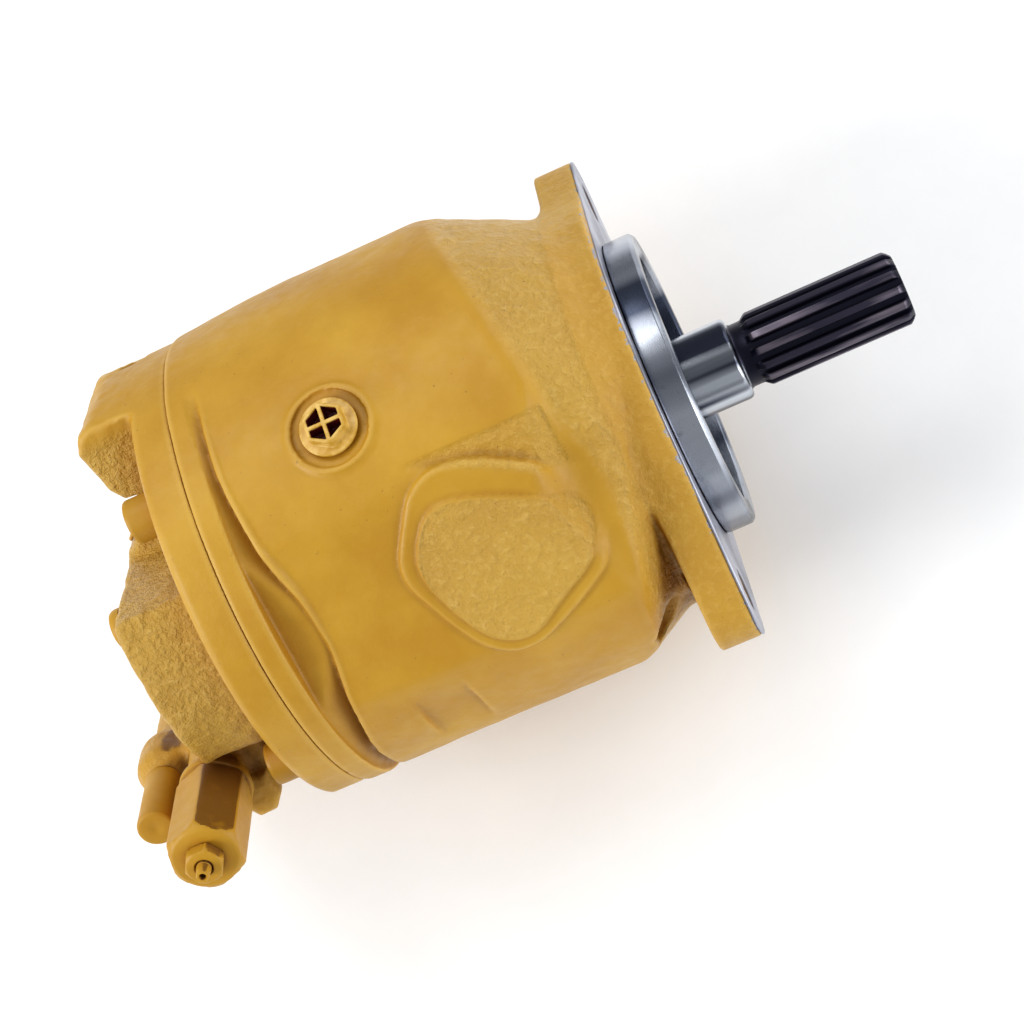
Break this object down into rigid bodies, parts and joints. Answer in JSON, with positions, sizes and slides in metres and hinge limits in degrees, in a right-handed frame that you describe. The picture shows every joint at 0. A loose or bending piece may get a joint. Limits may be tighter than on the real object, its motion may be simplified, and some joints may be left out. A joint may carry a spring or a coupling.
{
  "type": "axial piston pump",
  "caption": "Variable-displacement swashplate piston pump: round cast housing with a two-ear flange and splined shaft, end cover with rear ports, and a side control valve.",
  "frame": {"origin": "on the drive shaft's axis, in the plane of the mounting flange's face", "axes": "+X along the shaft towards its splined end, Y along the flange's two ears, +Z towards the upper case drain port"},
  "size_m": [0.3749, 0.2354, 0.211],
  "materials": {
    "painted_casting": "satin ochre-yellow enamel over rough cast iron",
    "plain_steel": "machined",
    "ground_steel": "ground, bright",
    "black_oxide_steel": "black oxide splines with a ground bright journal",
    "bronze": "bearing bronze",
    "seal_rubber": "matte",
    "plug_plastic": "dark red moulded shipping plug"
  },
  "bodies": {
    "housing": {"housing": "painted_casting", "end_cover": "painted_casting", "cover_seal": "seal_rubber", "cover_screw_1": "painted_casting", "cover_screw_2": "painted_casting", "cover_screw_3": "painted_casting", "cover_screw_4": "painted_casting", "front_bearing_cup": "ground_steel", "rear_bearing_cup": "ground_steel", "shaft_seal": "seal_rubber", "seal_ring": "plain_steel", "cradle_bearing_near": "bronze", "cradle_bearing_far": "bronze", "valve_plate": "ground_steel", "control_sleeve": "plain_steel", "bias_guide": "plain_steel", "return_spring": "plain_steel", "valve_body": "painted_casting", "pressure_cap": "painted_casting", "flow_cap": "painted_casting", "pressure_spring": "plain_steel", "flow_spring": "plain_steel", "valve_screw_1": "plain_steel", "valve_screw_2": "plain_steel", "drain_plug": "plug_plastic", "lower_drain_plug": "plug_plastic", "slant_plate": "painted_casting", "rear_plug": "painted_casting"},
    "rotating_group": {"drive_shaft": "black_oxide_steel", "front_bearing_cone": "plain_steel", "rear_bearing_cone": "plain_steel", "cylinder_barrel": "plain_steel", "guide_ball": "ground_steel", "barrel_spring": "plain_steel"},
    "swashplate": {"swashplate": "ground_steel"},
    "retainer": {"retaining_plate": "plain_steel"},
    "slipper_1": {"slipper_1": "bronze"},
    "slipper_2": {"slipper_2": "bronze"},
    "slipper_3": {"slipper_3": "bronze"},
    "slipper_4": {"slipper_4": "bronze"},
    "slipper_5": {"slipper_5": "bronze"},
    "slipper_6": {"slipper_6": "bronze"},
    "slipper_7": {"slipper_7": "bronze"},
    "slipper_8": {"slipper_8": "bronze"},
    "slipper_9": {"slipper_9": "bronze"},
    "piston_1": {"piston_1": "plain_steel"},
    "piston_2": {"piston_2": "plain_steel"},
    "piston_3": {"piston_3": "plain_steel"},
    "piston_4": {"piston_4": "plain_steel"},
    "piston_5": {"piston_5": "plain_steel"},
    "piston_6": {"piston_6": "plain_steel"},
    "piston_7": {"piston_7": "plain_steel"},
    "piston_8": {"piston_8": "plain_steel"},
    "piston_9": {"piston_9": "plain_steel"},
    "control_piston": {"control_piston": "ground_steel"},
    "bias_piston": {"bias_piston": "ground_steel"},
    "pressure_spool": {"pressure_spool": "ground_steel"},
    "flow_spool": {"flow_spool": "ground_steel"},
    "adjusting_screw": {"adjusting_screw": "plain_steel"},
    "lock_nut": {"lock_nut": "painted_casting"}
  },
  "joints": [
    {"name": "shaft_spin", "type": "hinge", "parent": "housing", "child": "rotating_group", "pos_m": [0, 0, 0], "axis": [1, 0, 0], "continuous": true},
    {"name": "swash_tilt", "type": "hinge", "parent": "housing", "child": "swashplate", "pos_m": [-0.075, 0, 0], "axis": [0, -0.7071, 0.7071], "range_deg": [0, 15], "stiffness_Nm_per_rad": 60, "springref_deg": -8.59},
    {"name": "retainer_spin", "type": "hinge", "parent": "swashplate", "child": "retainer", "pos_m": [-0.075, 0, 0], "axis": [0.9659, -0.183, -0.183], "continuous": true},
    {"name": "slipper_1_turn", "type": "hinge", "parent": "retainer", "child": "slipper_1", "pos_m": [-0.06499, 0.02641, 0.02641], "axis": [0.9659, -0.183, -0.183], "continuous": true},
    {"name": "slipper_2_turn", "type": "hinge", "parent": "retainer", "child": "slipper_2", "pos_m": [-0.06734, 0.00266, 0.0378], "axis": [0.9659, -0.183, -0.183], "continuous": true},
    {"name": "slipper_3_turn", "type": "hinge", "parent": "retainer", "child": "slipper_3", "pos_m": [-0.07326, -0.02234, 0.03151], "axis": [0.9659, -0.183, -0.183], "continuous": true},
    {"name": "slipper_4_turn", "type": "hinge", "parent": "retainer", "child": "slipper_4", "pos_m": [-0.08, -0.03688, 0.01047], "axis": [0.9659, -0.183, -0.183], "continuous": true},
    {"name": "slipper_5_turn", "type": "hinge", "parent": "retainer", "child": "slipper_5", "pos_m": [-0.0844, -0.03416, -0.01546], "axis": [0.9659, -0.183, -0.183], "continuous": true},
    {"name": "slipper_6_turn", "type": "hinge", "parent": "retainer", "child": "slipper_6", "pos_m": [-0.0844, -0.01546, -0.03416], "axis": [0.9659, -0.183, -0.183], "continuous": true},
    {"name": "slipper_7_turn", "type": "hinge", "parent": "retainer", "child": "slipper_7", "pos_m": [-0.08, 0.01047, -0.03688], "axis": [0.9659, -0.183, -0.183], "continuous": true},
    {"name": "slipper_8_turn", "type": "hinge", "parent": "retainer", "child": "slipper_8", "pos_m": [-0.07326, 0.03151, -0.02234], "axis": [0.9659, -0.183, -0.183], "continuous": true},
    {"name": "slipper_9_turn", "type": "hinge", "parent": "retainer", "child": "slipper_9", "pos_m": [-0.06734, 0.0378, 0.00266], "axis": [0.9659, -0.183, -0.183], "continuous": true},
    {"name": "piston_1_ball", "type": "hinge", "parent": "slipper_1", "child": "piston_1", "pos_m": [-0.06499, 0.02641, 0.02641], "axis": [0, -0.7071, 0.7071], "range_deg": [-15, 0]},
    {"name": "piston_2_ball", "type": "hinge", "parent": "slipper_2", "child": "piston_2", "pos_m": [-0.06734, 0.00266, 0.0378], "axis": [0, -0.7071, 0.7071], "range_deg": [-15, 0]},
    {"name": "piston_3_ball", "type": "hinge", "parent": "slipper_3", "child": "piston_3", "pos_m": [-0.07326, -0.02234, 0.03151], "axis": [0, -0.7071, 0.7071], "range_deg": [-15, 0]},
    {"name": "piston_4_ball", "type": "hinge", "parent": "slipper_4", "child": "piston_4", "pos_m": [-0.08, -0.03688, 0.01047], "axis": [0, -0.7071, 0.7071], "range_deg": [-15, 0]},
    {"name": "piston_5_ball", "type": "hinge", "parent": "slipper_5", "child": "piston_5", "pos_m": [-0.0844, -0.03416, -0.01546], "axis": [0, -0.7071, 0.7071], "range_deg": [-15, 0]},
    {"name": "piston_6_ball", "type": "hinge", "parent": "slipper_6", "child": "piston_6", "pos_m": [-0.0844, -0.01546, -0.03416], "axis": [0, -0.7071, 0.7071], "range_deg": [-15, 0]},
    {"name": "piston_7_ball", "type": "hinge", "parent": "slipper_7", "child": "piston_7", "pos_m": [-0.08, 0.01047, -0.03688], "axis": [0, -0.7071, 0.7071], "range_deg": [-15, 0]},
    {"name": "piston_8_ball", "type": "hinge", "parent": "slipper_8", "child": "piston_8", "pos_m": [-0.07326, 0.03151, -0.02234], "axis": [0, -0.7071, 0.7071], "range_deg": [-15, 0]},
    {"name": "piston_9_ball", "type": "hinge", "parent": "slipper_9", "child": "piston_9", "pos_m": [-0.06734, 0.0378, 0.00266], "axis": [0, -0.7071, 0.7071], "range_deg": [-15, 0]},
    {"name": "control_piston_slide", "type": "slide", "parent": "housing", "child": "control_piston", "axis": [1, 0, 0], "range_m": [0, 0.0186]},
    {"name": "bias_piston_slide", "type": "slide", "parent": "housing", "child": "bias_piston", "axis": [1, 0, 0], "range_m": [-0.0186, 0], "deforming": ["return_spring"]},
    {"name": "pressure_spool_slide", "type": "slide", "parent": "housing", "child": "pressure_spool", "axis": [0, -0.7071, 0.7071], "range_m": [0, 0.002], "stiffness_N_per_m": 300, "springref_m": -0.004, "deforming": ["pressure_spring"]},
    {"name": "flow_spool_slide", "type": "slide", "parent": "housing", "child": "flow_spool", "axis": [0, -0.7071, 0.7071], "range_m": [0, 0.002], "stiffness_N_per_m": 300, "springref_m": -0.004, "deforming": ["flow_spring"]},
    {"name": "adjusting_screw_turn", "type": "hinge", "parent": "housing", "child": "adjusting_screw", "pos_m": [-0.233, -0.04313, -0.04313], "axis": [0, -0.7071, 0.7071], "range_deg": [-180, 180]},
    {"name": "lock_nut_turn", "type": "hinge", "parent": "housing", "child": "lock_nut", "pos_m": [-0.233, -0.04313, -0.04313], "axis": [0, -0.7071, 0.7071], "range_deg": [0, 180]}
  ],
  "couplings": [
    {"joint": "retainer_spin", "follows": "shaft_spin", "ratio": 1},
    {"joint": "slipper_1_turn", "follows": "shaft_spin", "ratio": -1},
    {"joint": "slipper_2_turn", "follows": "shaft_spin", "ratio": -1},
    {"joint": "slipper_3_turn", "follows": "shaft_spin", "ratio": -1},
    {"joint": "slipper_4_turn", "follows": "shaft_spin", "ratio": -1},
    {"joint": "slipper_5_turn", "follows": "shaft_spin", "ratio": -1},
    {"joint": "slipper_6_turn", "follows": "shaft_spin", "ratio": -1},
    {"joint": "slipper_7_turn", "follows": "shaft_spin", "ratio": -1},
    {"joint": "slipper_8_turn", "follows": "shaft_spin", "ratio": -1},
    {"joint": "slipper_9_turn", "follows": "shaft_spin", "ratio": -1},
    {"joint": "piston_1_ball", "follows": "swash_tilt", "ratio": -1},
    {"joint": "piston_2_ball", "follows": "swash_tilt", "ratio": -1},
    {"joint": "piston_3_ball", "follows": "swash_tilt", "ratio": -1},
    {"joint": "piston_4_ball", "follows": "swash_tilt", "ratio": -1},
    {"joint": "piston_5_ball", "follows": "swash_tilt", "ratio": -1},
    {"joint": "piston_6_ball", "follows": "swash_tilt", "ratio": -1},
    {"joint": "piston_7_ball", "follows": "swash_tilt", "ratio": -1},
    {"joint": "piston_8_ball", "follows": "swash_tilt", "ratio": -1},
    {"joint": "piston_9_ball", "follows": "swash_tilt", "ratio": -1},
    {"joint": "control_piston_slide", "follows": "swash_tilt", "m_per_rad": 0.0707},
    {"joint": "bias_piston_slide", "follows": "swash_tilt", "m_per_rad": -0.0707}
  ]
}
